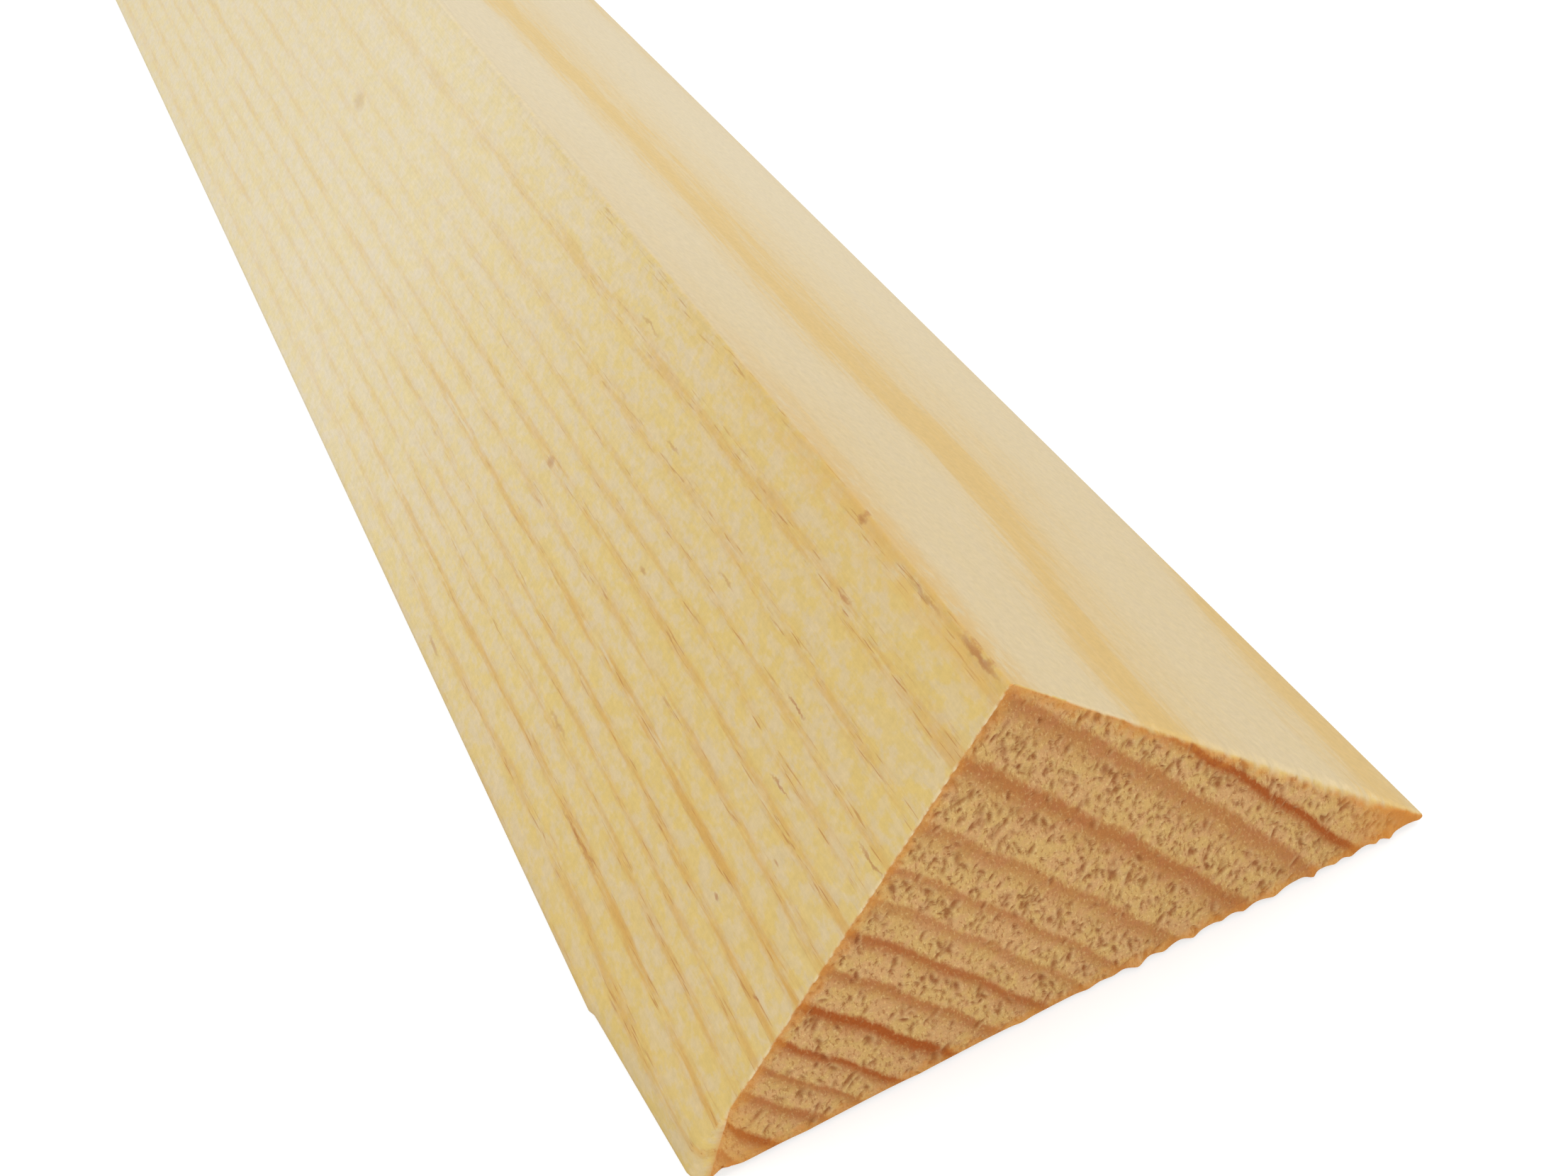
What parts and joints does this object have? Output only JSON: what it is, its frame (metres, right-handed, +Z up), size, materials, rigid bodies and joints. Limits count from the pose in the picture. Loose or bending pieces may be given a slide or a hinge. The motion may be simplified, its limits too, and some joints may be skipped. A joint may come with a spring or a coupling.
{
  "type": "triangular wood moulding",
  "caption": "Straight length of triangular softwood moulding, with a right-angled ridge between equal sides and square-cut ends.",
  "frame": {"origin": "middle of the wide side that the moulding lies on", "axes": "+X across the wide side, +Y along the length towards the far end, +Z up to the ridge"},
  "size_m": [0.039, 1, 0.0197],
  "materials": {
    "pine": "planed, bare, with sawn end grain"
  },
  "bodies": {
    "root": {"moulding": "pine"}
  },
  "joints": []
}
